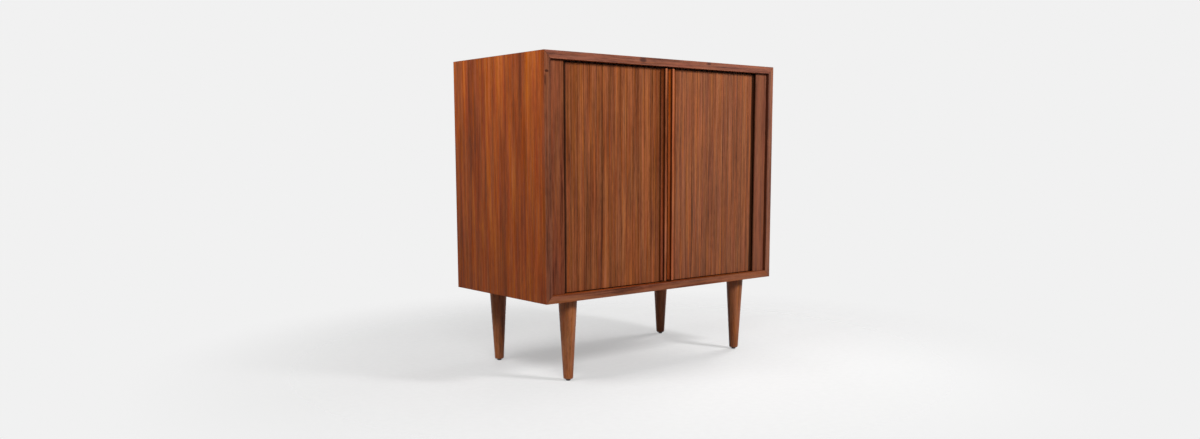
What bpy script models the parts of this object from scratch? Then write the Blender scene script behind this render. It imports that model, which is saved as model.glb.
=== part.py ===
"""Tambour door cabinet: a mitred veneered case on four turned legs, with two slatted curtains.

Metres, +Z up, +X to the viewer's right along the front, +Y from the front to the back.
The origin is on the floor, under the middle of the case.
Each curtain is a row of wooden slats on a cloth backing, led by a stile with a pull.
Their tongues run in one groove, routed in the bottom and the top panel, which crosses the front,
turns a quarter circle behind each post and goes on beside each side panel to the back.
"""

import math

import bmesh
import bpy
from mathutils import Vector

# Case
CASE_WIDTH = 0.8128
CASE_DEPTH = 0.4064
OVERALL_HEIGHT = 0.8128
CASE_BOTTOM = 0.2096
PANEL_THICKNESS = 0.01905
SEAM = 0.0003
CUT_OVERRUN = 0.004

# Back panel and its rebate
BACK_THICKNESS = 0.0064
BACK_INSET = 0.003
BACK_PLAY = 0.0005
REBATE_WIDTH = 0.009

# Curtain: slats glued side by side on a canvas
FACE_SETBACK = 0.0155
SLAT_GAP = 0.0006
SLAT_THICKNESS = 0.0095
SLAT_CHAMFER = 0.0004
SLATS_PER_DOOR = 16
LAST_JOINT_INSET = 0.0069
SHOULDER_GAP_TOP = 0.0045
SHOULDER_GAP_BOTTOM = 0.0025
CANVAS_THICKNESS = 0.0007
CANVAS_HEM = 0.003

# Tongues and the groove that they run in
TONGUE_THICKNESS = 0.004
TONGUE_SETBACK = 0.0010
TONGUE_INSET = 0.0027
TONGUE_ROOF_GAP = 0.002
TRACK_DEPTH = 0.008
TRACK_CLEARANCE = 0.0004
BEND_RADIUS = 0.042
CURTAIN_SIDE_CLEARANCE = 0.003
ARC_STEPS = 12

# Lead stiles and pulls
MEETING_GAP = 0.0016
LEAD_REACH = 0.036
PULL_CENTRE = 0.0127
PULL_NOSE_WIDTH = 0.0075
PULL_BASE_WIDTH = 0.0098
PULL_NOSE_THICKNESS = 0.0014
PULL_NOSE_EASE = 0.0006
PULL_COVE_SAG = 0.0026
PULL_NOSE_SETBACK = 0.0004
PULL_END_GAP = 0.005
COVE_STEPS = 8

# Posts beside the opening, and the panels that part the pockets from the inside
POST_SETBACK = 0.0087
POST_WIDTH = 0.04445
POST_THICKNESS = 0.01905
POST_COVE_CLEARANCE = 0.0045
POCKET_PANEL_THICKNESS = 0.0095
POCKET_PANEL_CLEARANCE = 0.0035
POCKET_PANEL_NOSE = 0.003
NOSE_STEPS = 4

# Shelf and its pins
SHELF_THICKNESS = 0.016
SHELF_FRONT_GAP = 0.022
SHELF_BACK_GAP = 0.003
SHELF_END_GAP = 0.0025
SHELF_EDGE_EASE = 0.0012
PIN_HEIGHT = 0.2720
PIN_ROW_SPACING = 0.032
PIN_ROWS = 5
PIN_EDGE_INSET = 0.052
PIN_RADIUS = 0.0025
PIN_HOLE_PLAY = 0.0002
PIN_HOLE_DEPTH = 0.007
PIN_COLLAR_RADIUS = 0.0042
PIN_COLLAR_THICKNESS = 0.0012
PIN_STUB_RADIUS = 0.003
PIN_STUB_LENGTH = 0.008
PIN_SIDES = 16

# Legs, each with a stud that screws into the bottom panel, and glides
LEG_INSET_X = 0.0998
LEG_INSET_Y = 0.0458
LEG_TOP_RADIUS = 0.0240
LEG_FOOT_RADIUS = 0.0125
LEG_FOOT_ROUND = 0.0035
LEG_TOP_EASE = 0.0006
LEG_SIDES = 36
FOOT_ROUND_STEPS = 4
STUD_RADIUS = 0.004
STUD_LENGTH = 0.014
STUD_TIP = 0.0012
STUD_HOLE_PLAY = 0.0003
GLIDE_HEIGHT = 0.004
GLIDE_RADIUS = 0.0060
GLIDE_EASE = 0.0012
NAIL_RADIUS = 0.0010
NAIL_LENGTH = 0.012
NAIL_TIP = 0.002
NAIL_HOLE_PLAY = 0.0003
GLIDE_SIDES = 24

# Places that follow from the sizes above
FRONT_Y = -CASE_DEPTH / 2
BACK_Y = CASE_DEPTH / 2
SIDE_OUTER_X = CASE_WIDTH / 2
SIDE_INNER_X = SIDE_OUTER_X - PANEL_THICKNESS
POST_NOSE_X = SIDE_INNER_X - POST_WIDTH
FLOOR_Z = CASE_BOTTOM + PANEL_THICKNESS
CEILING_Z = OVERALL_HEIGHT - PANEL_THICKNESS
REBATE_Y = BACK_Y - BACK_INSET - BACK_THICKNESS - SEAM
SLAT_BACK_Y = FRONT_Y + FACE_SETBACK + SLAT_THICKNESS
BEND_X = SIDE_INNER_X - CURTAIN_SIDE_CLEARANCE - SLAT_THICKNESS - BEND_RADIUS
BEND_Y = SLAT_BACK_Y + BEND_RADIUS
# The slats share what shows between the stile and the last joint line; one more turns in behind the post
SLAT_PITCH = (POST_NOSE_X - LAST_JOINT_INSET - LEAD_REACH) / (SLATS_PER_DOOR - 1)
SLAT_HALF_TURN = math.asin(SLAT_PITCH / (2 * BEND_RADIUS))
CHORD_SAG = BEND_RADIUS * (1 - math.cos(SLAT_HALF_TURN))
GROOVE_FLOOR_Z = FLOOR_Z - TRACK_DEPTH
GROOVE_ROOF_Z = CEILING_Z + TRACK_DEPTH
POCKET_OUTER_X = BEND_X + BEND_RADIUS - POCKET_PANEL_CLEARANCE
POCKET_INNER_X = POCKET_OUTER_X - POCKET_PANEL_THICKNESS
SHELF_FRONT_Y = SLAT_BACK_Y + SHELF_FRONT_GAP
SHELF_BACK_Y = REBATE_Y - SHELF_BACK_GAP
SHOULDER_LOW_Z = FLOOR_Z + SHOULDER_GAP_BOTTOM
SHOULDER_HIGH_Z = CEILING_Z - SHOULDER_GAP_TOP
PIN_Z = FLOOR_Z + PIN_HEIGHT
PIN_FRONT_Y = SHELF_FRONT_Y + PIN_EDGE_INSET
PIN_BACK_Y = SHELF_BACK_Y - PIN_EDGE_INSET
SIDES = (("left", -1), ("right", 1))

# Where the points down a tongue's side lie, from its back to its front, one for each of the body's
TONGUE_SIDE_SHARES = (0, 0.5, 1)

# How often the search for a joint line halves its span, and the least corner that stays sharp
HALVINGS = 60
SHARP_DEGREES = 35

# Finishes: name, colour, roughness, metallic
SIDE_WALNUT = ("side_walnut", (0.225, 0.088, 0.036), 0.42, 0)
FRONT_WALNUT = ("front_walnut", (0.245, 0.095, 0.045), 0.45, 0)
SLAT_WALNUT = ("slat_walnut", (0.195, 0.076, 0.032), 0.42, 0)
INNER_WALNUT = ("inner_walnut", (0.150, 0.066, 0.032), 0.50, 0)
LEG_WALNUT = ("leg_walnut", (0.070, 0.030, 0.015), 0.40, 0)
NICKEL = ("nickel", (0.560, 0.540, 0.500), 0.30, 1)
BLACK_PLASTIC = ("black_plastic", (0.012, 0.012, 0.012), 0.45, 0)
CANVAS = ("canvas", (0.420, 0.330, 0.220), 0.95, 0)


def clear_scene():
    for old in list(bpy.data.objects):
        bpy.data.objects.remove(old, do_unlink=True)


def material(finish):
    """A Principled material, made the first time that a piece asks for the finish."""
    name, colour, roughness, metallic = finish
    made = bpy.data.materials.get(name) or bpy.data.materials.new(name)
    made.use_nodes = True
    shader = made.node_tree.nodes["Principled BSDF"]
    shader.inputs["Base Color"].default_value = (*colour, 1)
    shader.inputs["Roughness"].default_value = roughness
    shader.inputs["Metallic"].default_value = metallic
    made.diffuse_color = (*colour, 1)
    return made


def mesh_object(name, mesh, finish):
    made = bpy.data.objects.new(name, mesh)
    bpy.context.scene.collection.objects.link(made)
    if finish is None:
        made.hide_render = True
        made.display_type = "WIRE"
    elif not mesh.materials:
        mesh.materials.append(material(finish))
    return made


def closed_mesh(name, bm):
    bmesh.ops.recalc_face_normals(bm, faces=bm.faces)
    mesh = bpy.data.meshes.new(name)
    bm.to_mesh(mesh)
    bm.free()
    return mesh


def extrude_outline(bm, outline, place, start, end):
    """Adds to bm the closed outline, pushed from start to end; place turns (a, b, depth) into a point."""
    near = [bm.verts.new(place(a, b, start)) for a, b in outline]
    far = [bm.verts.new(place(a, b, end)) for a, b in outline]
    bm.faces.new(near)
    bm.faces.new(reversed(far))
    count = len(outline)
    for i in range(count):
        bm.faces.new((near[i], near[(i + 1) % count], far[(i + 1) % count], far[i]))


def upright(a, b, depth):
    """An outline drawn in plan, pushed up."""
    return Vector((a, b, depth))


def lengthwise(a, b, depth):
    """An outline drawn on the front, pushed from front to back."""
    return Vector((a, depth, b))


def prism(name, outline, place, start, end, finish):
    bm = bmesh.new()
    extrude_outline(bm, outline, place, start, end)
    return mesh_object(name, closed_mesh(name, bm), finish)


def box_outline(low_a, high_a, low_b, high_b):
    return [(low_a, low_b), (high_a, low_b), (high_a, high_b), (low_a, high_b)]


def cut(target, cutter):
    modifier = target.modifiers.new(cutter.name, "BOOLEAN")
    modifier.operation = "DIFFERENCE"
    modifier.solver = "EXACT"
    modifier.object = cutter


def soften(target, width, segments):
    """Eases the sharp edges of a whole piece."""
    modifier = target.modifiers.new("eased_edges", "BEVEL")
    modifier.width = width
    modifier.segments = segments
    modifier.limit_method = "ANGLE"


def turned_mesh(name, profile, sides, axis):
    """Spins a profile of (radius, distance along the axis), which starts and ends on the axis."""
    across = Vector((0, 0, 1)) if abs(axis.x) > abs(axis.z) else Vector((1, 0, 0))
    bm = bmesh.new()
    points = [bm.verts.new(across * radius + axis * along) for radius, along in profile]
    edges = [bm.edges.new(pair) for pair in zip(points, points[1:])]
    bmesh.ops.spin(
        bm,
        geom=points + edges,
        axis=axis,
        cent=(0, 0, 0),
        steps=sides,
        angle=math.tau,
        use_merge=True,
    )
    bmesh.ops.remove_doubles(bm, verts=bm.verts, dist=SEAM / 100)
    mesh = closed_mesh(name, bm)
    mesh.shade_smooth()
    mesh.set_sharp_from_angle(angle=math.radians(SHARP_DEGREES))
    return mesh


def arc(centre_x, centre_y, radius, start, end, steps):
    """Points on a circle, at angles from start to end counted from +X towards +Y."""
    turns = [start + (end - start) * i / steps for i in range(steps + 1)]
    return [(centre_x + radius * math.cos(t), centre_y + radius * math.sin(t)) for t in turns]


# The way that the slats' back edges take through the right half of the case.
# It is measured from the middle of the front, outwards, round the bend and to the back.


def way_point(distance):
    if distance <= BEND_X:
        return Vector((distance, SLAT_BACK_Y))
    turn = (distance - BEND_X) / BEND_RADIUS
    if turn <= math.pi / 2:
        return Vector(
            (BEND_X + BEND_RADIUS * math.sin(turn), BEND_Y - BEND_RADIUS * math.cos(turn))
        )
    return Vector((BEND_X + BEND_RADIUS, BEND_Y + (turn - math.pi / 2) * BEND_RADIUS))


def next_joint(distance):
    """How far along the way the next joint line lies: one pitch from this one, in a straight line."""
    here = way_point(distance)
    low, high = distance, distance + 2 * SLAT_PITCH
    for _ in range(HALVINGS):
        middle = (low + high) / 2
        if (way_point(middle) - here).length < SLAT_PITCH:
            low = middle
        else:
            high = middle
    return low


def joint_lines():
    """Where the slats of the right curtain meet in plan, from the stile to the last slat's far edge."""
    distance = LEAD_REACH
    joints = [way_point(distance)]
    for _ in range(SLATS_PER_DOOR):
        distance = next_joint(distance)
        joints.append(way_point(distance))
    return joints


def track_line(offset):
    """The groove's wall, this far outside the slats' back edges, from the back left to the back right."""
    radius = BEND_RADIUS + offset
    run_x = BEND_X + radius
    end_y = REBATE_Y + CUT_OVERRUN
    quarter = math.pi / 2
    left = arc(-BEND_X, BEND_Y, radius, 2 * quarter, 3 * quarter, ARC_STEPS)
    right = arc(BEND_X, BEND_Y, radius, -quarter, 0, ARC_STEPS)
    return [(-run_x, end_y), *left, *right, (run_x, end_y)]


def make_track_cutter():
    inner = TONGUE_SETBACK - CHORD_SAG - TRACK_CLEARANCE
    outer = TONGUE_SETBACK + TONGUE_THICKNESS + TRACK_CLEARANCE
    outline = track_line(outer) + track_line(inner)[::-1]
    return prism("track_cutter", outline, upright, GROOVE_FLOOR_Z, GROOVE_ROOF_Z, None)


def make_rebate_cutter():
    reach_x = SIDE_INNER_X + REBATE_WIDTH
    outline = box_outline(-reach_x, reach_x, FLOOR_Z - REBATE_WIDTH, CEILING_Z + REBATE_WIDTH)
    return prism("rebate_cutter", outline, lengthwise, REBATE_Y, BACK_Y + CUT_OVERRUN, None)


def leg_places():
    """(name, x, y) of each leg's axis."""
    reach_x, reach_y = SIDE_OUTER_X - LEG_INSET_X, BACK_Y - LEG_INSET_Y
    ends = (("front", -1), ("back", 1))
    return [
        (f"{end}_{side}", sx * reach_x, sy * reach_y) for end, sy in ends for side, sx in SIDES
    ]


def make_stud_cutter():
    """The four blind holes under the case that the legs' studs screw into."""
    bm = bmesh.new()
    depth = STUD_LENGTH + STUD_HOLE_PLAY
    for _, x, y in leg_places():
        ring = arc(x, y, STUD_RADIUS + STUD_HOLE_PLAY, 0, math.tau, PIN_SIDES)[:-1]
        extrude_outline(bm, ring, upright, CASE_BOTTOM - CUT_OVERRUN, CASE_BOTTOM + depth)
    return mesh_object("stud_cutter", closed_mesh("stud_cutter", bm), None)


def make_case():
    """Four panels mitred at the corners, rebated for the back; two of them are grooved for the curtains."""
    ease = SEAM / math.sqrt(2)
    wide, narrow = SIDE_OUTER_X - ease, SIDE_INNER_X - ease
    rebate, track, studs = make_rebate_cutter(), make_track_cutter(), make_stud_cutter()
    top_outline = [
        (-wide, OVERALL_HEIGHT),
        (wide, OVERALL_HEIGHT),
        (narrow, CEILING_Z),
        (-narrow, CEILING_Z),
    ]
    bottom_outline = [
        (-wide, CASE_BOTTOM),
        (wide, CASE_BOTTOM),
        (narrow, FLOOR_Z),
        (-narrow, FLOOR_Z),
    ]
    top = prism("top_panel", top_outline, lengthwise, FRONT_Y, BACK_Y, FRONT_WALNUT)
    bottom = prism("bottom_panel", bottom_outline, lengthwise, FRONT_Y, BACK_Y, FRONT_WALNUT)
    for side, sign in SIDES:
        outline = [
            (sign * SIDE_OUTER_X, CASE_BOTTOM + ease),
            (sign * SIDE_OUTER_X, OVERALL_HEIGHT - ease),
            (sign * SIDE_INNER_X, CEILING_Z - ease),
            (sign * SIDE_INNER_X, FLOOR_Z + ease),
        ]
        panel = prism(f"{side}_side_panel", outline, lengthwise, FRONT_Y, BACK_Y, SIDE_WALNUT)
        cut(panel, rebate)
    for panel in (top, bottom):
        cut(panel, rebate)
        cut(panel, track)
    cut(bottom, studs)


def make_back_panel():
    reach_x = SIDE_INNER_X + REBATE_WIDTH - BACK_PLAY
    low = FLOOR_Z - REBATE_WIDTH + BACK_PLAY
    high = CEILING_Z + REBATE_WIDTH - BACK_PLAY
    outline = box_outline(-reach_x, reach_x, low, high)
    face_y = BACK_Y - BACK_INSET
    prism("back_panel", outline, lengthwise, face_y - BACK_THICKNESS, face_y, INNER_WALNUT)


def make_posts():
    """A board beside each end of the opening, its back hollowed round the curtain's bend to a thin nose."""
    face_y = FRONT_Y + POST_SETBACK
    board_back_y = face_y + POST_THICKNESS
    outer_x = SIDE_INNER_X - SEAM
    radius = BEND_RADIUS + SLAT_THICKNESS + POST_COVE_CLEARANCE
    start = math.asin((board_back_y - BEND_Y) / radius)
    end = -math.acos((POST_NOSE_X - BEND_X) / radius)
    hollow = arc(BEND_X, BEND_Y, radius, start, end, ARC_STEPS)
    outline = [(POST_NOSE_X, face_y), (outer_x, face_y), (outer_x, board_back_y), *hollow]
    for side, sign in SIDES:
        mirrored = [(sign * x, y) for x, y in outline]
        prism(f"{side}_post", mirrored, upright, FLOOR_Z + SEAM, CEILING_Z - SEAM, FRONT_WALNUT)


def make_pocket_panels():
    """A thin upright panel inside each side, with a rounded front edge and two columns of pin holes."""
    front_y, end_y = BEND_Y, REBATE_Y - SEAM
    nose, steps = POCKET_PANEL_NOSE, NOSE_STEPS
    quarter = math.pi / 2
    for side, sign in SIDES:
        inner = arc(POCKET_INNER_X + nose, front_y + nose, nose, 2 * quarter, 3 * quarter, steps)
        outer = arc(POCKET_OUTER_X - nose, front_y + nose, nose, -quarter, 0, steps)
        outline = [(POCKET_INNER_X, end_y), *inner, *outer, (POCKET_OUTER_X, end_y)]
        mirrored = [(sign * x, y) for x, y in outline]
        panel = prism(
            f"{side}_pocket_panel",
            mirrored,
            upright,
            FLOOR_Z + SEAM,
            CEILING_Z - SEAM,
            INNER_WALNUT,
        )
        cut(panel, make_pin_hole_cutter(side, sign))


def make_pin_hole_cutter(side, sign):
    bm = bmesh.new()
    radius = PIN_RADIUS + PIN_HOLE_PLAY
    mouth_x, floor_x = POCKET_INNER_X - CUT_OVERRUN, POCKET_INNER_X + PIN_HOLE_DEPTH
    for row in range(PIN_ROWS):
        z = PIN_Z + (row - PIN_ROWS // 2) * PIN_ROW_SPACING
        for y in (PIN_FRONT_Y, PIN_BACK_Y):
            ring = arc(y, z, radius, 0, math.tau, PIN_SIDES)[:-1]
            extrude_outline(
                bm,
                ring,
                lambda a, b, depth: Vector((depth, a, b)),
                sign * mouth_x,
                sign * floor_x,
            )
    name = f"{side}_pin_hole_cutter"
    return mesh_object(name, closed_mesh(name, bm), None)


def make_shelf():
    reach_x = POCKET_INNER_X - SHELF_END_GAP
    low = PIN_Z + PIN_STUB_RADIUS + SEAM
    outline = box_outline(-reach_x, reach_x, SHELF_FRONT_Y, SHELF_BACK_Y)
    shelf = prism("adjustable_shelf", outline, upright, low, low + SHELF_THICKNESS, INNER_WALNUT)
    soften(shelf, SHELF_EDGE_EASE, 2)


def make_shelf_pins():
    """A spigot in the panel's hole, a collar against its face and a stub that the shelf lies on."""
    collar_end = SEAM + PIN_COLLAR_THICKNESS
    profile = [
        (0, SEAM - PIN_HOLE_DEPTH),
        (PIN_RADIUS, SEAM - PIN_HOLE_DEPTH),
        (PIN_RADIUS, SEAM),
        (PIN_COLLAR_RADIUS, SEAM),
        (PIN_COLLAR_RADIUS, collar_end),
        (PIN_STUB_RADIUS, collar_end),
        (PIN_STUB_RADIUS, PIN_STUB_LENGTH),
        (0, PIN_STUB_LENGTH),
    ]
    for side, sign in SIDES:
        mesh = turned_mesh(f"{side}_pin", profile, PIN_SIDES, Vector((-sign, 0, 0)))
        for end, y in (("front", PIN_FRONT_Y), ("back", PIN_BACK_Y)):
            pin = mesh_object(f"shelf_pin_{end}_{side}", mesh, NICKEL)
            pin.location = (sign * POCKET_INNER_X, y, PIN_Z)


def make_legs():
    """Turned tapered legs, each drawn from the foot up with its own stud at the top."""
    foot_z = GLIDE_HEIGHT + SEAM
    top_z = CASE_BOTTOM - SEAM
    round_z = foot_z + LEG_FOOT_ROUND
    taper = (LEG_TOP_RADIUS - LEG_FOOT_RADIUS) / (top_z - round_z)
    centre_r = LEG_FOOT_RADIUS - LEG_FOOT_ROUND
    foot = arc(centre_r, round_z, LEG_FOOT_ROUND, -math.pi / 2, 0, FOOT_ROUND_STEPS)
    hole_radius = NAIL_RADIUS + NAIL_HOLE_PLAY
    hole_z = foot_z + NAIL_LENGTH
    shoulder_z = top_z - LEG_TOP_EASE
    stud_z = CASE_BOTTOM + STUD_LENGTH
    profile = [
        (0, hole_z),
        (hole_radius, hole_z),
        (hole_radius, foot_z),
        *foot,
        (LEG_FOOT_RADIUS + taper * (shoulder_z - round_z), shoulder_z),
        (LEG_TOP_RADIUS - LEG_TOP_EASE, top_z),
        (STUD_RADIUS, top_z),
        (STUD_RADIUS, stud_z - STUD_TIP),
        (STUD_RADIUS - STUD_TIP, stud_z),
        (0, stud_z),
    ]
    mesh = turned_mesh("leg", profile, LEG_SIDES, Vector((0, 0, 1)))
    for place, x, y in leg_places():
        leg = mesh_object(f"leg_{place}", mesh, LEG_WALNUT)
        leg.location = (x, y, 0)


def make_glides():
    """Nail-on glides, which the cabinet stands on."""
    nail_z = GLIDE_HEIGHT + NAIL_LENGTH
    profile = [
        (0, 0),
        (GLIDE_RADIUS - GLIDE_EASE, 0),
        (GLIDE_RADIUS, GLIDE_EASE),
        (GLIDE_RADIUS, GLIDE_HEIGHT),
        (NAIL_RADIUS, GLIDE_HEIGHT),
        (NAIL_RADIUS, nail_z - NAIL_TIP),
        (0, nail_z),
    ]
    mesh = turned_mesh("glide", profile, GLIDE_SIDES, Vector((0, 0, 1)))
    for place, x, y in leg_places():
        glide = mesh_object(f"glide_{place}", mesh, BLACK_PLASTIC)
        glide.location = (x, y, 0)


def tongued_strip(name, half_width):
    """A slat or a stile: a chamfered face, a plain back, and a tongue at each end between shoulders.

    It stands round the middle of its back, with its face towards -Y.
    """
    body_half = [
        (half_width, 0),
        (half_width, SLAT_CHAMFER - SLAT_THICKNESS),
        (half_width - SLAT_CHAMFER, -SLAT_THICKNESS),
    ]
    tongue_x = half_width - TONGUE_INSET
    tongue_half = [
        (tongue_x, -(TONGUE_SETBACK + share * TONGUE_THICKNESS)) for share in TONGUE_SIDE_SHARES
    ]
    body = body_half + [(-x, y) for x, y in reversed(body_half)]
    tongue = tongue_half + [(-x, y) for x, y in reversed(tongue_half)]
    levels = [
        (GROOVE_FLOOR_Z + SEAM, tongue),
        (SHOULDER_LOW_Z, tongue),
        (SHOULDER_LOW_Z, body),
        (SHOULDER_HIGH_Z, body),
        (SHOULDER_HIGH_Z, tongue),
        (GROOVE_ROOF_Z - TONGUE_ROOF_GAP, tongue),
    ]
    bm = bmesh.new()
    rings = [[bm.verts.new((x, y, z)) for x, y in ring] for z, ring in levels]
    for lower, upper in zip(rings, rings[1:]):
        for i in range(len(lower)):
            j = (i + 1) % len(lower)
            bm.faces.new((lower[i], lower[j], upper[j], upper[i]))
    bm.faces.new(rings[0])
    bm.faces.new(reversed(rings[-1]))
    return closed_mesh(name, bm)


def make_slats():
    """Both curtains at rest, closed; the last slat of each already lies in the bend behind its post."""
    mesh = tongued_strip("slat", (SLAT_PITCH - SLAT_GAP) / 2)
    joints = joint_lines()
    for side, sign in SIDES:
        for number, (near, far) in enumerate(zip(joints, joints[1:]), start=1):
            middle, along = (near + far) / 2, far - near
            slat = mesh_object(f"{side}_slat_{number:02d}", mesh, SLAT_WALNUT)
            slat.location = (sign * middle.x, middle.y, 0)
            slat.rotation_euler = (0, 0, sign * math.atan2(along.y, along.x))


def make_lead_stiles():
    """The wide first member of each curtain, which carries the pull."""
    inner_x, outer_x = MEETING_GAP / 2, LEAD_REACH - SLAT_GAP / 2
    mesh = tongued_strip("lead_stile", (outer_x - inner_x) / 2)
    for side, sign in SIDES:
        stile = mesh_object(f"{side}_lead_stile", mesh, SLAT_WALNUT)
        stile.location = (sign * (inner_x + outer_x) / 2, SLAT_BACK_Y, 0)


def set_inside(line, depth):
    """The line moved this far to the inner side of the bend, its corners mitred."""
    steps = [(b - a).normalized() for a, b in zip(line, line[1:])]
    moved = []
    for i, point in enumerate(line):
        before, after = steps[max(i - 1, 0)], steps[min(i, len(steps) - 1)]
        along = (before + after).normalized()
        inward = Vector((-along.y, along.x))
        moved.append(point + inward * (depth / along.dot(after)))
    return moved


def make_canvases():
    """The cloth glued behind each curtain's slats, bent where they are."""
    line = [Vector((MEETING_GAP, SLAT_BACK_Y)), *joint_lines()]
    glued, back = set_inside(line, SEAM), set_inside(line, SEAM + CANVAS_THICKNESS)
    outline = glued + back[::-1]
    low, high = SHOULDER_LOW_Z + CANVAS_HEM, SHOULDER_HIGH_Z - CANVAS_HEM
    for side, sign in SIDES:
        mirrored = [(sign * point.x, point.y) for point in outline]
        prism(f"{side}_canvas", mirrored, upright, low, high, CANVAS)


def pull_outline():
    """Half the pull in plan, from the nose back: a thin eased nose, then a cove down to the wider foot."""
    nose, foot = PULL_NOSE_WIDTH / 2, PULL_BASE_WIDTH / 2
    nose_y = FRONT_Y + PULL_NOSE_SETBACK
    foot_y = FRONT_Y + FACE_SETBACK - SEAM
    start = Vector((nose, nose_y + PULL_NOSE_THICKNESS))
    end = Vector((foot, foot_y))
    inward = Vector((-(end - start).y, (end - start).x)).normalized()
    points = [(nose - PULL_NOSE_EASE, nose_y), (nose, nose_y + PULL_NOSE_EASE)]
    for i in range(COVE_STEPS + 1):
        share = i / COVE_STEPS
        depth = PULL_COVE_SAG * 4 * share * (1 - share)
        point = start.lerp(end, share) + inward * depth
        points.append((point.x, point.y))
    return points


def make_pulls():
    half = pull_outline()
    outline = half + [(-x, y) for x, y in reversed(half)]
    low, high = FLOOR_Z + PULL_END_GAP, CEILING_Z - PULL_END_GAP
    for side, sign in SIDES:
        pull = prism(f"{side}_pull", outline, upright, low, high, FRONT_WALNUT)
        pull.location = (sign * PULL_CENTRE, 0, 0)


def main():
    clear_scene()
    make_case()
    make_back_panel()
    make_posts()
    make_pocket_panels()
    make_shelf()
    make_shelf_pins()
    make_legs()
    make_glides()
    make_slats()
    make_lead_stiles()
    make_canvases()
    make_pulls()


main()
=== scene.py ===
"""Tambour door cabinet in walnut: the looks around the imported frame.

The case, posts, stiles, shelf and pins keep their CAD meshes and get materials and eased edges.
Slats, canvases, pulls, legs and glides are replaced by finer pieces of the same form in the same places.
The legs' studs and the glides' nails lie hidden and aren't drawn.
"""
from collections import namedtuple
import math
import bmesh
import bpy
from mathutils import Matrix, Vector


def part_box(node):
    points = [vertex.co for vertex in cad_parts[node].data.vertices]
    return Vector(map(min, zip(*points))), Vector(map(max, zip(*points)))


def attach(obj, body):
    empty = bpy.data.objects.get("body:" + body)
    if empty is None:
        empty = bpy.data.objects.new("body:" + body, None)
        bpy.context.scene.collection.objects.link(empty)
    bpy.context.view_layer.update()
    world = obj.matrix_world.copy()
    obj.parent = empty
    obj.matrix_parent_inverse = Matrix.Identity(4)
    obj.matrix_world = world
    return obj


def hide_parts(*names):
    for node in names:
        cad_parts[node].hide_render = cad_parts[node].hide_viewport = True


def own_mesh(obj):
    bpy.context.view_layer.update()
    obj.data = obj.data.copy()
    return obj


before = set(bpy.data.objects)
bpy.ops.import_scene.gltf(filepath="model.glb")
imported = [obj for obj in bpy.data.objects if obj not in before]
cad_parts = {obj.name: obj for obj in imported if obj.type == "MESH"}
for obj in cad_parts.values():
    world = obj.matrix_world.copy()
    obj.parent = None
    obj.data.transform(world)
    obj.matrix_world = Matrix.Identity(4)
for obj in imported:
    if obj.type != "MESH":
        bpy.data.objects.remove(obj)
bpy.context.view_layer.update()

# Picture that the camera was fitted to, in pixels
PICTURE_WIDTH = 1200
PICTURE_HEIGHT = 439
FOCAL_PIXELS = 960.53
PRINCIPAL_X = 599.49
PRINCIPAL_Y = 276.02
SENSOR_MM = 36

# Fitted camera: place in metres, and its axes
CAMERA_PLACE = Vector((-1.7600, -2.0510, 0.5787))
CAMERA_RIGHT = Vector((0.77212, -0.63547, -0.00309))
CAMERA_FORWARD = Vector((0.62979, 0.76586, -0.12971))
CAMERA_FAR = 50

SIDES = {"left": -1, "right": 1}

# Where the legs, the glides and the shelf's pins are
QUARTERS = (("front", "left"), ("front", "right"), ("back", "left"), ("back", "right"))

# Curtains, in metres
CANVAS_LOW, CANVAS_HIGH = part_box("right_canvas")
CANVAS_HEM = 0.003
SHOULDER_LOW_Z = CANVAS_LOW.z - CANVAS_HEM
SHOULDER_HIGH_Z = CANVAS_HIGH.z + CANVAS_HEM
SLATS = 16

# Pulls: a thin nose, a cove down each side and a wider foot
PULL_LOW, PULL_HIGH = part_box("right_pull")
PULL_X = (PULL_LOW.x + PULL_HIGH.x) / 2
FOOT_HALF = (PULL_HIGH.x - PULL_LOW.x) / 2
NOSE_HALF = 0.00375
NOSE_THICKNESS = 0.0014
NOSE_EASE = 0.0006
NOSE_STEPS = 6
COVE_START_Y = PULL_LOW.y + NOSE_THICKNESS
COVE_SAG = 0.0026
COVE_STEPS = 24

# Turned legs and glides
CASE_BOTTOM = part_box("bottom_panel")[0].z
SEAM = 0.0003
LEG_TOP_RADIUS = 0.0240
LEG_TOP_EASE = 0.0006
LEG_EASE_INSET = 0.00006
LEG_FOOT_RADIUS = 0.0125
LEG_FOOT_ROUND = 0.0035
LEG_FOOT_STEPS = 10
GLIDE_RADIUS = 0.0060
GLIDE_HEIGHT = 0.0042
GLIDE_EASE = 0.0012
GLIDE_STEPS = 6
TURNED_SIDES = 96

# Eased edges: widths in metres, angles in degrees
PANEL_EASE = 0.0006
SLAT_EASE = 0.0002
EASE_STEPS = 2
EASE_ANGLE = 40
SLAT_EASE_ANGLE = 30
FLAT_ANGLE = 0.5
SHARP_ANGLE = 35
WELD = 0.00001

# Floor and background: greys from 0 to 255, shares, and distances from the middle in metres
BACKGROUND = 241
WORLD_STRENGTH = 0.12
FLOOR_DARKER = 198
FLOOR_PALER = 203
FLOOR_NOISE_SCALE = 60.0
FLOOR_GLOW = 0.42
FLOOR_BOUNCE = 150
FLOOR_FADE_START = 0.45
FLOOR_FADE_END = 1.35
FLOOR_REACH = 6.0

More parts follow.
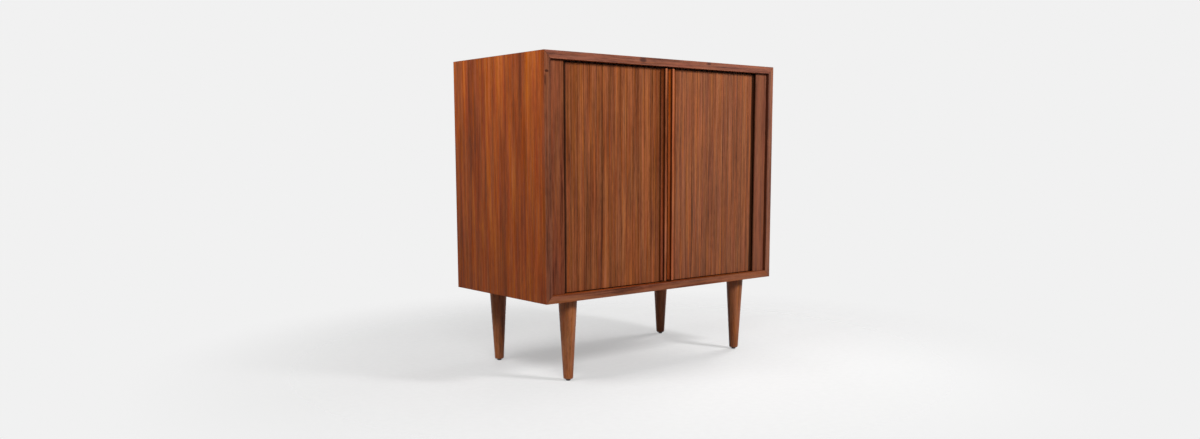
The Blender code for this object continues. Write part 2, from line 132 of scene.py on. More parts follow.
# A layer of noise in the wood: its scale along the grain against that across, its noise, and the range in use
Layer = namedtuple("Layer", "stretch scale detail roughness low high")
BANDS = Layer(stretch=0.030, scale=34.0, detail=2.0, roughness=0.50, low=0.30, high=0.70)
STREAKS = Layer(stretch=0.011, scale=260.0, detail=4.0, roughness=0.68, low=0.28, high=0.72)
LINES = Layer(stretch=0.011, scale=95.0, detail=1.0, roughness=0.40, low=0.60, high=0.72)
FIGURES = Layer(stretch=0.070, scale=85.0, detail=4.0, roughness=0.62, low=0.28, high=0.72)
FIBRES = Layer(stretch=0.035, scale=1150.0, detail=2.0, roughness=0.60, low=0.25, high=0.75)
PORES = Layer(stretch=0.035, scale=1750.0, detail=1.0, roughness=0.50, low=0.62, high=0.72)
HUES = Layer(stretch=0.070, scale=74.0, detail=3.0, roughness=0.60, low=0.30, high=0.70)
STRENGTHS = Layer(stretch=0.011, scale=380.0, detail=3.0, roughness=0.60, low=0.30, high=0.70)
CENTRED = (-0.5, 0.5)
HUE_RANGE = (0.4945, 0.5055)
STRENGTH_RANGE = (0.93, 1.07)
PIECE_OFFSET = 7.3
SWAY_SCALE_ACROSS = 3.0
SWAY_SCALE_ALONG = 1.7
SWAY_REACH = 0.022
MIX_MIDDLE = 0.48
TONE_PLACES = (0.10, MIX_MIDDLE, 0.92)
FIBRE_SHARE = 0.36
LINE_DEPTH = 0.16
PORE_SHARE = 0.40
FRONT_FIGURE = 0.25
FIBRE_HEIGHT = 0.35
WEAR_SCALE = 9.0
WEAR_SPREAD = 0.08

# The Y part of a face's direction, which is -1 towards the front, over which one colour gives way to another
FRONT_TURN = (-0.8, -0.6)
FLANK_TURN = (-0.9, -0.7)

# Shares of each kind of variation, and of that from piece to piece
Spread = namedtuple("Spread", "band streak figure board")
SIDE_SPREAD = Spread(band=0.34, streak=0.38, figure=0.36, board=0.0)
LEVEL_SPREAD = Spread(band=0.44, streak=0.36, figure=0.28, board=0.0)
LEFT_POST_SPREAD = Spread(band=0.20, streak=0.30, figure=0.80, board=0.1)
RIGHT_POST_SPREAD = Spread(band=0.20, streak=0.30, figure=0.60, board=0.1)
STILE_SPREAD = Spread(band=0.22, streak=0.34, figure=0.30, board=0.1)
SLAT_SPREAD = Spread(band=0.20, streak=0.56, figure=0.36, board=0.14)
PULL_SPREAD = Spread(band=0.20, streak=0.30, figure=0.34, board=0.1)
INNER_SPREAD = Spread(band=0.40, streak=0.36, figure=0.30, board=0.1)
LEG_SPREAD = Spread(band=0.34, streak=0.36, figure=0.34, board=0.15)

# Painted shade, wood made darker where shade falls: distances from the middle where that ends and where it is
# full, and its share
PaintedShade = namedtuple("PaintedShade", "ends_x full_x share")
# Painted shade on the side panels' inner faces
SIDE_PAINTED_SHADE = PaintedShade(ends_x=0.38815, full_x=0.38755, share=0.50)
# Painted shadow on the slats where they go in behind the posts
POST_PAINTED_SHADOW = PaintedShade(ends_x=0.3312, full_x=0.3328, share=0.85)
# Painted shadow of the pulls on the stiles, under them and beside their feet
PULL_PAINTED_SHADOW = PaintedShade(ends_x=0.0225, full_x=0.0182, share=0.60)
# Painted shade on the right pull's outer cove, which keeps the painted bounce light of its tones to the inner
# cove
OUTER_COVE_PAINTED_SHADE = PaintedShade(ends_x=0.0160, full_x=0.0165, share=0.60)
# Painted shade on the front part of the pulls' coves, just behind the nose
COVE_SHADE_FULL = 0.0066
COVE_SHADE_ENDS = 0.0092
COVE_SHADE_SHARE = 0.8
# Painted shade past the shoulders at the ends of slats and stiles fades in over this distance
TONGUE_FADE = 0.0004

# Spots are ovals: their middle, their reach both ways and their depth, which is below 0 for a lighter one
OVAL_CORE = 0.1

# Knots and stretches on the front faces: x, z, reach along x, reach along z, depth
KNOTS = (
    (-0.0953, 0.8056, 0.014, 0.0075, 0.40),
    (0.1423, 0.8085, 0.012, 0.0050, 0.30),
    (-0.3990, 0.7640, 0.0065, 0.0040, 0.62),
    (-0.4035, 0.7440, 0.0024, 0.0170, 0.50),
    (-0.1480, 0.2190, 0.060, 0.0160, 0.20),
    (0.2900, 0.2190, 0.160, 0.0200, -0.36),
)

# Stretches on the left side: y, z, reach along y, reach along z, depth
FLAMES = (
    (0.1500, 0.775, 0.006, 0.120, -0.30),
    (-0.0200, 0.790, 0.019, 0.160, -0.26),
    (-0.1450, 0.790, 0.018, 0.130, -0.12),
    (-0.0800, 0.720, 0.040, 0.220, 0.10),
)


def shade(red, green, blue):
    """A colour written as it shows on screen, 0 to 255, turned into the linear values that nodes take."""
    def linear(value):
        part = value / 255
        return part / 12.92 if part <= 0.04045 else ((part + 0.055) / 1.055) ** 2.4
    return (linear(red), linear(green), linear(blue), 1)


def grey(level):
    return shade(level, level, level)


# Dark, middle and light tone of each kind of wood
# The front faces' tones are greyer than the sides': a painted sheen on the front faces
FRONT_SHEEN_TONES = (shade(66, 34, 23), shade(116, 67, 46), shade(144, 87, 60))
TOP_FRONT_SHEEN_TONES = (shade(72, 38, 29), shade(128, 75, 56), shade(156, 96, 72))
POST_TONES = (shade(66, 32, 18), shade(108, 58, 36), shade(136, 76, 48))
# The stiles' tones are darker than the slats' for the pulls' shade on them: painted shade
STILE_SHADED_TONES = (shade(66, 34, 18), shade(112, 60, 34), shade(138, 80, 46))
PULL_TONES = (shade(84, 42, 24), shade(143, 78, 48), shade(176, 100, 60))
# The coves' tones are lighter than the pulls' fronts, painted light on the coves; the right pull's are
# lighter still, painted light bounced between the pulls
LEFT_COVE_LIT_TONES = (shade(98, 48, 28), shade(164, 86, 50), shade(200, 116, 70))
RIGHT_COVE_BOUNCE_TONES = (shade(120, 56, 26), shade(200, 102, 50), shade(226, 132, 70))
SLAT_TONES = (shade(72, 37, 20), shade(122, 67, 38), shade(160, 92, 52))
SIDE_TONES = (shade(84, 36, 14), shade(128, 60, 24), shade(166, 88, 34))
INNER_TONES = (shade(96, 58, 38), shade(138, 90, 60), shade(168, 116, 80))
LEG_TONES = (shade(84, 44, 26), shade(140, 82, 49), shade(172, 106, 66))

# Colours that lie over those
# A greyer tone laid over the right-hand parts and the top: a painted sheen
SHEEN_GREY = shade(180, 168, 164)
PORE = shade(52, 26, 14)
# Painted shade on the ends past a slat's shoulders, in the gaps at the top and bottom panels
TONGUE_PAINTED_SHADE = shade(66, 38, 25)
# Painted shade on the side panels' inner faces, the slats beside the posts, the stiles beside the pulls and
# the right pull's outer cove
PAINTED_SHADE_DARK = shade(22, 12, 8)
# Painted shade behind the pulls' noses
COVE_PAINTED_SHADE = shade(40, 17, 8)
# Painted shade, laid over the last slats and the right legs
PAINTED_SHADE_BLACK = shade(16, 9, 6)


class Shading:
    """The node tree of a material or of the world, with one short call for each kind of node."""

    def __init__(self, owner):
        owner.use_nodes = True
        self.owner = owner
        self.tree = owner.node_tree

    def node(self, kind, inputs=None, **settings):
        made = self.tree.nodes.new(kind)
        for key, value in settings.items():
            setattr(made, key, value)
        for key, value in (inputs or {}).items():
            self.put(made.inputs[key], value)
        return made

    def put(self, socket, value):
        if isinstance(value, bpy.types.NodeSocket):
            self.tree.links.new(value, socket)
        else:
            socket.default_value = value

    def surface(self, values):
        """Sets these sockets of the material's own shader."""
        shader = self.tree.nodes["Principled BSDF"]
        for name, value in values.items():
            self.put(shader.inputs[name], value)
        return shader.outputs[0]

    def math(self, operation, a, b=0.0):
        return self.node("ShaderNodeMath", {0: a, 1: b}, operation=operation).outputs[0]

    def span(self, value, low, high, to_low=0.0, to_high=1.0):
        inputs = {"Value": value, "From Min": low, "From Max": high, "To Min": to_low, "To Max": to_high}
        return self.node("ShaderNodeMapRange", inputs).outputs["Result"]

    def noise(self, vector, scale, detail=2.0, roughness=0.5):
        inputs = {"Vector": vector, "Scale": scale, "Detail": detail, "Roughness": roughness}
        return self.node("ShaderNodeTexNoise", inputs).outputs["Fac"]

    def layer(self, axes, kind, to_low=0.0, to_high=1.0):
        """A layer of noise drawn out along the grain, from to_low to to_high."""
        across, through, along = axes
        at = self.join(across, through, self.math("MULTIPLY", along, kind.stretch))
        value = self.noise(at, kind.scale, kind.detail, kind.roughness)
        return self.span(value, kind.low, kind.high, to_low, to_high)

    def ramp(self, factor, stops):
        made = self.node("ShaderNodeValToRGB", {"Fac": factor})
        elements = made.color_ramp.elements
        while len(elements) < len(stops):
            elements.new(1.0)
        for element, (place, colour) in zip(elements, stops):
            element.position = place
            element.color = colour
        return made.outputs["Color"]

    def blend(self, factor, a, b):
        made = self.node("ShaderNodeMix", data_type="RGBA")
        self.put(made.inputs["Factor"], factor)
        self.put(made.inputs[6], a)
        self.put(made.inputs[7], b)
        return made.outputs[2]

    def mix_shaders(self, factor, a, b):
        return self.node("ShaderNodeMixShader", {0: factor, 1: a, 2: b}).outputs[0]

    def place(self):
        """Where a point lies on its own object, which moves and turns with it."""
        return self.node("ShaderNodeTexCoord").outputs["Object"]

    def facing(self):
        """The Y part of a face's direction, -1 towards the front."""
        return self.parts(self.node("ShaderNodeNewGeometry").outputs["True Normal"])[1]

    def chance(self):
        """A number from 0 to 1 that differs from piece to piece."""
        return self.node("ShaderNodeObjectInfo").outputs["Random"]

    def parts(self, vector):
        made = self.node("ShaderNodeSeparateXYZ", {0: vector})
        return [made.outputs[i] for i in range(3)]

    def join(self, x, y, z):
        return self.node("ShaderNodeCombineXYZ", {0: x, 1: y, 2: z}).outputs[0]

    def oval(self, a, b, spot):
        """The depth of a spot in the middle of its soft oval, and 0 outside it."""
        middle_a, middle_b, reach_a, reach_b, depth = spot
        off_a = self.span(a, middle_a - reach_a, middle_a + reach_a, -1.0, 1.0)
        off_b = self.span(b, middle_b - reach_b, middle_b + reach_b, -1.0, 1.0)
        far = self.math("ADD", self.math("MULTIPLY", off_a, off_a), self.math("MULTIPLY", off_b, off_b))
        return self.span(far, OVAL_CORE, 1.0, depth, 0.0)

    def bump(self, height, distance, strength):
        inputs = {"Height": height, "Distance": distance, "Strength": strength}
        return self.node("ShaderNodeBump", inputs).outputs["Normal"]

    def seen_by_eye(self):
        """1 for rays that show a surface or its mirror image, 0 for those that only light others."""
        path = self.node("ShaderNodeLightPath").outputs
        straight = self.math("MAXIMUM", path["Is Camera Ray"], path["Is Glossy Ray"])
        return self.math("MAXIMUM", straight, path["Is Transmission Ray"])


def grain_axes(s, place, grain, chance):
    """Across, through and along the grain. It sways a little, and each piece has its own stretch of noise."""
    x, y, z = place
    along, across, through = (z, x, y) if grain == "z" else (x, z, y)
    across = s.math("ADD", across, s.math("MULTIPLY", chance, PIECE_OFFSET))
    sway_at = s.join(
        s.math("MULTIPLY", across, SWAY_SCALE_ACROSS),
        s.math("MULTIPLY", through, SWAY_SCALE_ACROSS),
        s.math("MULTIPLY", along, SWAY_SCALE_ALONG),
    )
    sway = s.math("SUBTRACT", s.noise(sway_at, scale=1.0, detail=1.0), 0.5)
    return s.math("ADD", across, s.math("MULTIPLY", sway, SWAY_REACH)), through, along


def grain_mix(s, axes, chance, spread):
    """How light the wood is from place to place, and two of the layers that it is made of."""
    figures = s.layer(axes, FIGURES, *CENTRED)
    fibres = s.layer(axes, FIBRES, *CENTRED)
    mix = MIX_MIDDLE
    for variation, share in (
        (s.layer(axes, BANDS, *CENTRED), spread.band),
        (s.layer(axes, STREAKS, *CENTRED), spread.streak),
        (figures, spread.figure),
        (fibres, FIBRE_SHARE),
        (s.math("SUBTRACT", chance, 0.5), spread.board),
        (s.layer(axes, LINES), -LINE_DEPTH),
    ):
        mix = s.math("ADD", mix, s.math("MULTIPLY", variation, share))
    return mix, figures, fibres


def painted_shade_places(s, colour, place, tongue_shade, painted_shade, cove_shade):
    """Painted shade, wood made darker where shade falls: past a slat's shoulders, within a band of distances
    from the middle, and in front on a pull's coves.
    """
    x, y, z = place
    # Painted shade past the shoulders
    if tongue_shade:
        above = s.span(z, SHOULDER_HIGH_Z - TONGUE_FADE, SHOULDER_HIGH_Z)
        below = s.span(z, SHOULDER_LOW_Z, SHOULDER_LOW_Z + TONGUE_FADE, 1.0, 0.0)
        colour = s.blend(s.math("MAXIMUM", above, below), colour, TONGUE_PAINTED_SHADE)
    # Painted shade over a band of distances from the middle
    if painted_shade is not None:
        near = s.span(s.math("ABSOLUTE", x), painted_shade.ends_x, painted_shade.full_x, 0.0, painted_shade.share)
        colour = s.blend(near, colour, PAINTED_SHADE_DARK)
    # Painted shade on the coves' flanks behind the nose
    if cove_shade:
        behind_nose = s.span(y, COVE_START_Y + COVE_SHADE_FULL, COVE_START_Y + COVE_SHADE_ENDS, COVE_SHADE_SHARE, 0.0)
        flank = s.span(s.facing(), *FLANK_TURN)
        colour = s.blend(s.math("MULTIPLY", behind_nose, flank), colour, COVE_PAINTED_SHADE)
    return colour


def walnut(
    name, tones, spread, grain="z", ends=None, knots=(), flames=(), painted_sheen=0.0, painted_shade=None,
    tongue_shade=False, cove_shade=False, unshaded_share=1.0, rough=0.44, gloss=0.06,
):
    """Oiled walnut: broad bands, fine streaks, soft figure and short pores, all drawn out along the grain.

    tones are the dark, middle and light colours; ends, where given, are those of the faces towards the front,
    greyer on the case for a painted sheen.
    knots are spots on those faces and flames are stretches of the others, each darker or lighter.
    haze is the share of a greyer tone that lies over the whole, a painted sheen.
    tongues, corner and coved choose where shade is painted.
    unshaded_share is how much of the colour is left over a near black, which stands for painted shade.
    """
    s = Shading(bpy.data.materials.new(name))
    place = s.parts(s.place())
    x, y, z = place
    chance = s.chance()
    axes = grain_axes(s, place, grain, chance)
    mix, figures, fibres = grain_mix(s, axes, chance, spread)
    for flame in flames:
        mix = s.math("SUBTRACT", mix, s.oval(y, z, flame))
    colour = s.ramp(mix, list(zip(TONE_PLACES, tones)))
    if ends is not None:
        edge = s.math("ADD", mix, s.math("MULTIPLY", figures, FRONT_FIGURE))
        for knot in knots:
            edge = s.math("SUBTRACT", edge, s.oval(x, z, knot))
        front = s.ramp(edge, list(zip(TONE_PLACES, ends)))
        colour = s.blend(s.span(s.facing(), *FRONT_TURN), front, colour)
    hue = s.layer(axes, HUES, *HUE_RANGE)
    strength = s.layer(axes, STRENGTHS, *STRENGTH_RANGE)
    tinted = {"Hue": hue, "Saturation": strength, "Color": colour}
    colour = s.node("ShaderNodeHueSaturation", tinted).outputs[0]
    # Painted sheen: a greyer tone over the whole
    if painted_sheen > 0.0:
        colour = s.blend(painted_sheen, colour, SHEEN_GREY)
    pores = s.layer(axes, PORES)
    colour = s.blend(s.math("MULTIPLY", pores, PORE_SHARE), colour, PORE)
    colour = painted_shade_places(s, colour, place, tongue_shade, painted_shade, cove_shade)
    # Painted shade over the whole piece
    if unshaded_share < 1.0:
        colour = s.blend(unshaded_share, PAINTED_SHADE_BLACK, colour)
    wear = s.noise(s.place(), WEAR_SCALE, detail=4.0, roughness=0.55)
    roughness = s.span(wear, 0.0, 1.0, rough - WEAR_SPREAD, rough + WEAR_SPREAD)
    height = s.math("SUBTRACT", s.math("MULTIPLY", fibres, FIBRE_HEIGHT), pores)
    normal = s.bump(height, distance=0.00012, strength=0.55)
    s.surface({"Base Color": colour, "Roughness": roughness, "Specular IOR Level": gloss, "Normal": normal})
    return s.owner


def canvas_cloth(name):
    """Unbleached linen: two sets of threads at right angles, uneven in thickness."""
    threads = 5200.0
    slub_stretch = 0.2
    weave_share = 0.16
    s = Shading(bpy.data.materials.new(name))
    x, y, z = s.parts(s.place())
    run = s.math("ADD", x, y)
    warp = s.math("SINE", s.math("MULTIPLY", run, threads))
    weft = s.math("SINE", s.math("MULTIPLY", z, threads))
    weave = s.math("MULTIPLY", warp, weft)
    slub = s.noise(s.join(s.math("MULTIPLY", run, slub_stretch), y, z), scale=420.0, detail=3.0)
    tone = s.math("ADD", s.math("MULTIPLY", weave, weave_share), slub)
    colour = s.ramp(tone, [(0.2, shade(122, 108, 84)), (0.8, shade(186, 172, 142))])
    normal = s.bump(s.math("ADD", weave, slub), distance=0.0002, strength=0.8)
    s.surface({"Base Color": colour, "Roughness": 0.93, "Normal": normal})
    return s.owner


def brushed_nickel(name):
    """Fine lines across the pins, from front to back, in the colour, the shine and the height."""
    line_stretch = 0.06
    s = Shading(bpy.data.materials.new(name))
    x, y, z = s.parts(s.place())
    lines = s.noise(s.join(x, s.math("MULTIPLY", y, line_stretch), z), scale=2600.0)
    colour = s.ramp(lines, [(0.3, shade(168, 164, 156)), (0.7, shade(206, 202, 194))])
    roughness = s.span(lines, low=0.3, high=0.7, to_low=0.26, to_high=0.40)
    normal = s.bump(lines, distance=0.00004, strength=0.4)
    s.surface({"Base Color": colour, "Metallic": 1.0, "Roughness": roughness, "Normal": normal})
    return s.owner


def moulded_plastic(name):
    """Black plastic with a fine grain and scuffs."""
    s = Shading(bpy.data.materials.new(name))
    grain = s.noise(s.place(), scale=1500.0, detail=3.0)
    scuff = s.noise(s.place(), scale=120.0, detail=4.0, roughness=0.7)
    colour = s.ramp(scuff, [(0.35, shade(20, 18, 17)), (0.75, shade(46, 42, 39))])
    roughness = s.span(scuff, low=0.3, high=0.7, to_low=0.48, to_high=0.66)
    normal = s.bump(grain, distance=0.00008, strength=0.5)
    s.surface({"Base Color": colour, "Roughness": roughness, "Normal": normal})
    return s.owner


LEFT_WALNUT = walnut(
    "walnut_left_side", SIDE_TONES, SIDE_SPREAD, ends=FRONT_SHEEN_TONES,
    knots=KNOTS, flames=FLAMES, painted_shade=SIDE_PAINTED_SHADE,
)
RIGHT_WALNUT = walnut(
    "walnut_right_side", SIDE_TONES, SIDE_SPREAD, ends=FRONT_SHEEN_TONES, painted_sheen=0.04, painted_shade=SIDE_PAINTED_SHADE
)
TOP_WALNUT = walnut("walnut_top", SIDE_TONES, LEVEL_SPREAD, "x", ends=TOP_FRONT_SHEEN_TONES, knots=KNOTS, painted_sheen=0.02)
BOTTOM_WALNUT = walnut("walnut_bottom", SIDE_TONES, LEVEL_SPREAD, "x", ends=FRONT_SHEEN_TONES, knots=KNOTS)
POST_WALNUT = {
    "left": walnut("walnut_left_post", POST_TONES, LEFT_POST_SPREAD),
    "right": walnut("walnut_right_post", POST_TONES, RIGHT_POST_SPREAD, painted_sheen=0.03),
}
STILE_WALNUT = walnut("walnut_stile", STILE_SHADED_TONES, STILE_SPREAD, tongue_shade=True, painted_shade=PULL_PAINTED_SHADOW)
SLAT_WALNUT = {
    "left": walnut("walnut_left_slat", SLAT_TONES, SLAT_SPREAD, tongue_shade=True, painted_shade=POST_PAINTED_SHADOW),
    "right": walnut(
        "walnut_right_slat", SLAT_TONES, SLAT_SPREAD, painted_sheen=0.025, tongue_shade=True, painted_shade=POST_PAINTED_SHADOW
    ),
}
# Painted shade: the last slat, which stays in the post's shade, keeps only a quarter of its colour
LAST_SLAT_WALNUT = walnut("walnut_slat_inner", SLAT_TONES, SLAT_SPREAD, unshaded_share=0.25, tongue_shade=True)
PULL_WALNUT = {
    "left": walnut("walnut_left_pull", LEFT_COVE_LIT_TONES, PULL_SPREAD, ends=PULL_TONES, cove_shade=True),
    "right": walnut(
        "walnut_right_pull", RIGHT_COVE_BOUNCE_TONES, PULL_SPREAD, ends=PULL_TONES, cove_shade=True, painted_shade=OUTER_COVE_PAINTED_SHADE
    ),
}
INNER_WALNUT = walnut("walnut_inner", INNER_TONES, INNER_SPREAD, rough=0.55)
SHELF_WALNUT = walnut("walnut_shelf", INNER_TONES, INNER_SPREAD, "x", rough=0.50)
LEG_WALNUT = {
    "left": walnut("walnut_left_leg", LEG_TONES, LEG_SPREAD, rough=0.38, gloss=0.15),
    # Painted shade: the right legs are a darker copy of the leg walnut
    "right": walnut("walnut_right_leg", LEG_TONES, LEG_SPREAD, rough=0.38, gloss=0.15, unshaded_share=0.82),
}
CANVAS = canvas_cloth("canvas")
NICKEL = brushed_nickel("nickel")
PLASTIC = moulded_plastic("plastic")


def give(node_name, material, ease=0.0):
    """A CAD node keeps its mesh; it gets a material and, where asked, eased edges."""
    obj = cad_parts[node_name]
    for material_slot in obj.material_slots:
        material_slot.material = material
    if ease:
        weld = obj.modifiers.new("weld", "WELD")
        weld.merge_threshold = WELD
        bevel = obj.modifiers.new("ease", "BEVEL")
        bevel.width = ease
        bevel.segments = EASE_STEPS
        bevel.limit_method = "ANGLE"
        bevel.angle_limit = math.radians(EASE_ANGLE)


def add_piece(name, mesh, material, smooth=True):
    obj = bpy.data.objects.new(name, mesh)
    bpy.context.scene.collection.objects.link(obj)
    mesh.materials.clear()
    mesh.materials.append(material)
    for polygon in mesh.polygons:
        polygon.use_smooth = smooth
    return obj


def bmesh_to_mesh(name, bm):
    bmesh.ops.recalc_face_normals(bm, faces=bm.faces)
    mesh = bpy.data.meshes.new(name)
    bm.to_mesh(mesh)
    bm.free()
    return mesh


def eased_copy(node_name, ease):
    """A copy of a CAD node's mesh, welded, freed of its triangulation and with eased edges."""
    bm = bmesh.new()
    bm.from_mesh(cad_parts[node_name].data)
    bmesh.ops.remove_doubles(bm, verts=bm.verts, dist=WELD)
    bmesh.ops.dissolve_limit(bm, angle_limit=math.radians(FLAT_ANGLE), verts=bm.verts, edges=bm.edges)
    if ease:
        limit = math.radians(SLAT_EASE_ANGLE)
        sharp = [edge for edge in bm.edges if len(edge.link_faces) == 2 and edge.calc_face_angle(0) > limit]
        bmesh.ops.bevel(
            bm, geom=sharp, offset=ease, segments=EASE_STEPS, affect="EDGES", profile=0.5, clamp_overlap=True
        )
    return bmesh_to_mesh(node_name, bm)


def turned(name, profile, sides):
    """A solid of revolution round Z from (radius, height) points, which start and end on the axis."""
    bm = bmesh.new()
    rings = []
    for radius, height in profile:
        if radius == 0:
            rings.append([bm.verts.new((0, 0, height))])
            continue
        turns = [2 * math.pi * i / sides for i in range(sides)]
        rings.append([bm.verts.new((radius * math.cos(t), radius * math.sin(t), height)) for t in turns])
    for lower, upper in zip(rings, rings[1:]):
        for i in range(sides):
            j = (i + 1) % sides
            below = [lower[i % len(lower)], lower[j % len(lower)]]
            above = [upper[j % len(upper)], upper[i % len(upper)]]
            bm.faces.new(list(dict.fromkeys(below + above)))
    return bmesh_to_mesh(name, bm)


def round_profile(centre_r, centre_z, radius, start, end, steps):
    turns = [start + (end - start) * i / steps for i in range(steps + 1)]
    return [(centre_r + radius * math.cos(t), centre_z + radius * math.sin(t)) for t in turns]


def sharpen(obj):
    """Keeps a smooth piece's clear edges sharp."""
    bm = bmesh.new()
    bm.from_mesh(obj.data)
    for edge in bm.edges:
        if len(edge.link_faces) == 2:
            edge.smooth = edge.calc_face_angle(0) < math.radians(SHARP_ANGLE)
    bm.to_mesh(obj.data)
    bm.free()


def dress_case():
    give("left_side_panel", LEFT_WALNUT, PANEL_EASE)
    give("right_side_panel", RIGHT_WALNUT, PANEL_EASE)
    give("top_panel", TOP_WALNUT, PANEL_EASE)
    give("bottom_panel", BOTTOM_WALNUT, PANEL_EASE)
    give("back_panel", INNER_WALNUT, SLAT_EASE)
    give("adjustable_shelf", SHELF_WALNUT, SLAT_EASE)
    for side in SIDES:
        give(f"{side}_post", POST_WALNUT[side], SLAT_EASE)
        give(f"{side}_pocket_panel", INNER_WALNUT)
        give(f"{side}_lead_stile", STILE_WALNUT, SLAT_EASE)
    for depth, side in QUARTERS:
        give(f"shelf_pin_{depth}_{side}", NICKEL)


def make_slats():
    """A copy for each slat. All but the first gather behind the post, so they flatten as their door opens."""
    for side in SIDES:
        for number in range(1, SLATS + 1):
            node_name = f"{side}_slat_{number:02d}"
            material = LAST_SLAT_WALNUT if number == SLATS else SLAT_WALNUT[side]
            mesh = eased_copy(node_name, SLAT_EASE)
            slat = add_piece(f"{side}_tambour_{number:02d}", mesh, material, False)
            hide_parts(node_name)
            if number == 1:
                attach(slat, f"{side}_lead")
                continue
            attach(slat, node_name)
            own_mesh(slat)


def make_canvases():
    """The cloth behind each curtain, glued to its slats. It shortens towards the post as the door opens."""
    for side, sign in SIDES.items():
        node_name = f"{side}_canvas"
        mesh = eased_copy(node_name, 0.0)
        cloth = add_piece(f"{side}_curtain_cloth", mesh, CANVAS, False)
        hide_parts(node_name)
        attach(cloth, "case")
        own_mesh(cloth)


def pull_outline():
    """The pull in plan, x from its middle: a thin eased nose, and a hollow down each side to the foot."""
    ease_x = NOSE_HALF - NOSE_EASE
    ease_y = PULL_LOW.y + NOSE_EASE
    half = round_profile(ease_x, ease_y, NOSE_EASE, -math.pi / 2, 0, NOSE_STEPS)
    start = Vector((NOSE_HALF, COVE_START_Y))
    end = Vector((FOOT_HALF, PULL_HIGH.y))
    inward = Vector((-(end - start).y, (end - start).x)).normalized()
    for i in range(COVE_STEPS + 1):
        share = i / COVE_STEPS
        point = start.lerp(end, share) + inward * (COVE_SAG * 4 * share * (1 - share))
        half.append((point.x, point.y))
    return half + [(-px, py) for px, py in reversed(half)]


def make_pulls():
    outline = pull_outline()
    count = len(outline)
    for side, sign in SIDES.items():
        bm = bmesh.new()
        levels = (PULL_LOW.z, PULL_HIGH.z)
        rings = [[bm.verts.new((sign * PULL_X + px, py, z)) for px, py in outline] for z in levels]
        for i in range(count):
            j = (i + 1) % count
            bm.faces.new((rings[0][i], rings[0][j], rings[1][j], rings[1][i]))
        bm.faces.new(rings[0])
        bm.faces.new(list(reversed(rings[1])))
        pull = add_piece(f"{side}_pull_rail", bmesh_to_mesh(f"{side}_pull_rail", bm), PULL_WALNUT[side])
        sharpen(pull)
        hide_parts(f"{side}_pull")
        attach(pull, f"{side}_lead")


def leg_profile(foot_z):
    """A rounded foot, a straight taper and an eased top just under the case."""
    top_z = CASE_BOTTOM - SEAM
    flat = LEG_FOOT_RADIUS - LEG_FOOT_ROUND
    foot = round_profile(flat, foot_z + LEG_FOOT_ROUND, LEG_FOOT_ROUND, -math.pi / 2, 0, LEG_FOOT_STEPS)
    under_ease = (LEG_TOP_RADIUS - LEG_EASE_INSET, top_z - LEG_TOP_EASE)
    over_ease = (LEG_TOP_RADIUS - LEG_TOP_EASE, top_z)
    return [(0, foot_z), *foot, under_ease, over_ease, (0, top_z)]


def glide_profile():
    ease = round_profile(GLIDE_RADIUS - GLIDE_EASE, GLIDE_EASE, GLIDE_EASE, -math.pi / 2, 0, GLIDE_STEPS)
    return [(0, 0), *ease, (GLIDE_RADIUS, GLIDE_HEIGHT), (0, GLIDE_HEIGHT)]


def make_legs():
    """Turned legs and their glides."""
    for depth, side in QUARTERS:
        low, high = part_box(f"leg_{depth}_{side}")
        moved = Matrix.Translation(((low.x + high.x) / 2, (low.y + high.y) / 2, 0))
        for kind, profile, material, slot_name in (
            ("leg", leg_profile(low.z), LEG_WALNUT[side], "leg_walnut"),
            ("glide", glide_profile(), PLASTIC, "glide_plastic"),
        ):
            mesh = turned(f"turned_{kind}_{depth}_{side}", profile, TURNED_SIDES)
            mesh.transform(moved)
            obj = add_piece(mesh.name, mesh, material)
            sharpen(obj)
            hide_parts(f"{kind}_{depth}_{side}")
            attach(obj, "case")


def make_floor():
    """A plain pale floor that keeps the shadow and fades out into a background of the same shade."""
    s = Shading(bpy.data.materials.new("pale_floor"))
    x, y, _ = s.parts(s.place())
    far = s.math("SQRT", s.math("ADD", s.math("MULTIPLY", x, x), s.math("MULTIPLY", y, y)))
    grain = s.noise(s.place(), FLOOR_NOISE_SCALE, detail=3.0)
    colour = s.ramp(grain, [(0.3, grey(FLOOR_DARKER)), (0.7, grey(FLOOR_PALER))])
    matt = s.surface({"Base Color": colour, "Roughness": 1.0, "Specular IOR Level": 0.0})
    glow = s.node("ShaderNodeEmission", {"Color": grey(BACKGROUND), "Strength": 1.0}).outputs[0]
    bounce = s.node("ShaderNodeBsdfDiffuse", {"Color": grey(FLOOR_BOUNCE)}).outputs[0]
    seen = s.mix_shaders(s.seen_by_eye(), bounce, s.mix_shaders(FLOOR_GLOW, matt, glow))
    fade = s.span(far, FLOOR_FADE_START, FLOOR_FADE_END)
    fade.node.interpolation_type = "SMOOTHSTEP"
    clear = s.node("ShaderNodeBsdfTransparent").outputs[0]
    s.put(s.tree.nodes["Material Output"].inputs["Surface"], s.mix_shaders(fade, seen, clear))
    mesh = bpy.data.meshes.new("floor")
    corners = [(x * FLOOR_REACH, y * FLOOR_REACH, 0) for x, y in ((-1, -1), (1, -1), (1, 1), (-1, 1))]
    mesh.from_pydata(corners, [], [(0, 1, 2, 3)])
    floor = add_piece("floor", mesh, s.owner, False)


def make_world():
    """A dim even light, behind a background that is only seen."""
    world = bpy.data.worlds.new("studio")
    bpy.context.scene.world = world
    s = Shading(world)
    s.tree.nodes.clear()
    light = s.node("ShaderNodeBackground", {"Color": grey(255), "Strength": WORLD_STRENGTH}).outputs[0]
    seen = s.node("ShaderNodeBackground", {"Color": grey(BACKGROUND), "Strength": 1.0}).outputs[0]
    mixed = s.mix_shaders(s.seen_by_eye(), light, seen)
    s.put(s.node("ShaderNodeOutputWorld").inputs["Surface"], mixed)


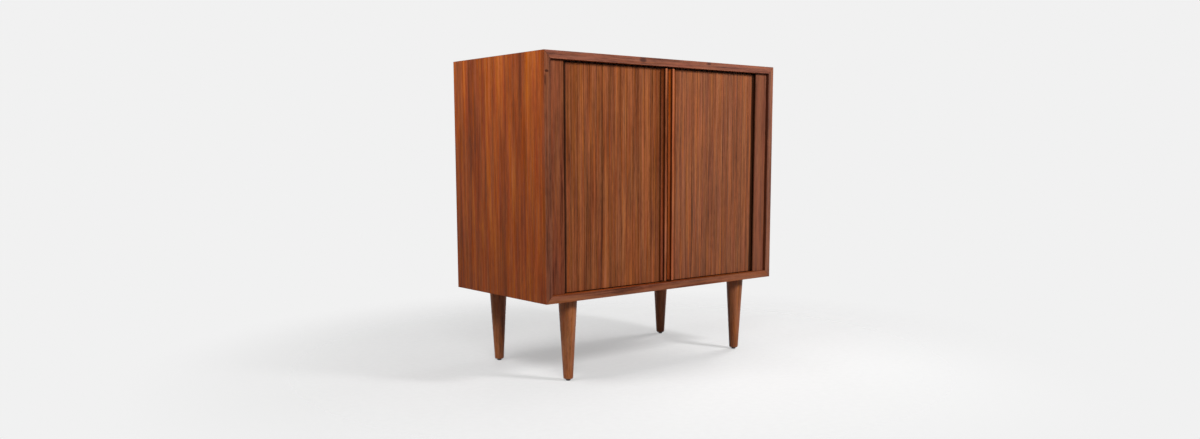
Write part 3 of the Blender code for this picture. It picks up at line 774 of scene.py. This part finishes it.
def add_lamp(name, place, target, size, watts, spread=180):
    """A rectangular lamp that points at the target; size is its width and height, spread is in degrees."""
    lamp = bpy.data.lights.new(name, "AREA")
    lamp.shape = "RECTANGLE"
    lamp.size, lamp.size_y = size
    lamp.energy = watts
    lamp.spread = math.radians(spread)
    obj = bpy.data.objects.new(name, lamp)
    bpy.context.scene.collection.objects.link(obj)
    obj.visible_glossy = False
    obj.location = place
    obj.rotation_euler = (Vector(target) - Vector(place)).to_track_quat("-Z", "Y").to_euler()


def make_lights():
    add_lamp("key", place=(0.80, -1.92, 1.8), target=(0, 0, 0.6), size=(0.36, 0.5), watts=55)
    add_lamp("left front", place=(-1.55, -1.85, 1.7), target=(0, 0, 0.6), size=(0.8, 0.8), watts=28)
    add_lamp("side", place=(-1.35, 0, 1.7), target=(-0.4, 0, 0.75), size=(0.6, 0.6), watts=11.5, spread=120)
    add_lamp("right", place=(1.7, 0.12, 1.2), target=(0.4, 0, 0.6), size=(0.7, 0.7), watts=9, spread=100)
    add_lamp("back", place=(0.9, 2.4, 1.9), target=(0, 0, 0.5), size=(1.4, 1.4), watts=22)


def make_camera():
    camera = bpy.data.cameras.new("camera")
    obj = bpy.data.objects.new("camera", camera)
    bpy.context.scene.collection.objects.link(obj)
    forward = CAMERA_FORWARD.normalized()
    right = (CAMERA_RIGHT - forward * CAMERA_RIGHT.dot(forward)).normalized()
    up = right.cross(forward)
    turn = Matrix((right, up, -forward)).transposed()
    obj.matrix_world = Matrix.Translation(CAMERA_PLACE) @ turn.to_4x4()
    camera.sensor_fit = "HORIZONTAL"
    camera.sensor_width = SENSOR_MM
    camera.lens = FOCAL_PIXELS / PICTURE_WIDTH * SENSOR_MM
    camera.shift_x = (PICTURE_WIDTH / 2 - PRINCIPAL_X) / PICTURE_WIDTH
    camera.shift_y = (PRINCIPAL_Y - PICTURE_HEIGHT / 2) / PICTURE_WIDTH
    camera.clip_end = CAMERA_FAR
    bpy.context.scene.camera = obj


dress_case()
make_slats()
make_canvases()
make_pulls()
make_legs()
make_floor()
make_world()
make_lights()
make_camera()
bpy.context.scene.view_settings.view_transform = "Standard"
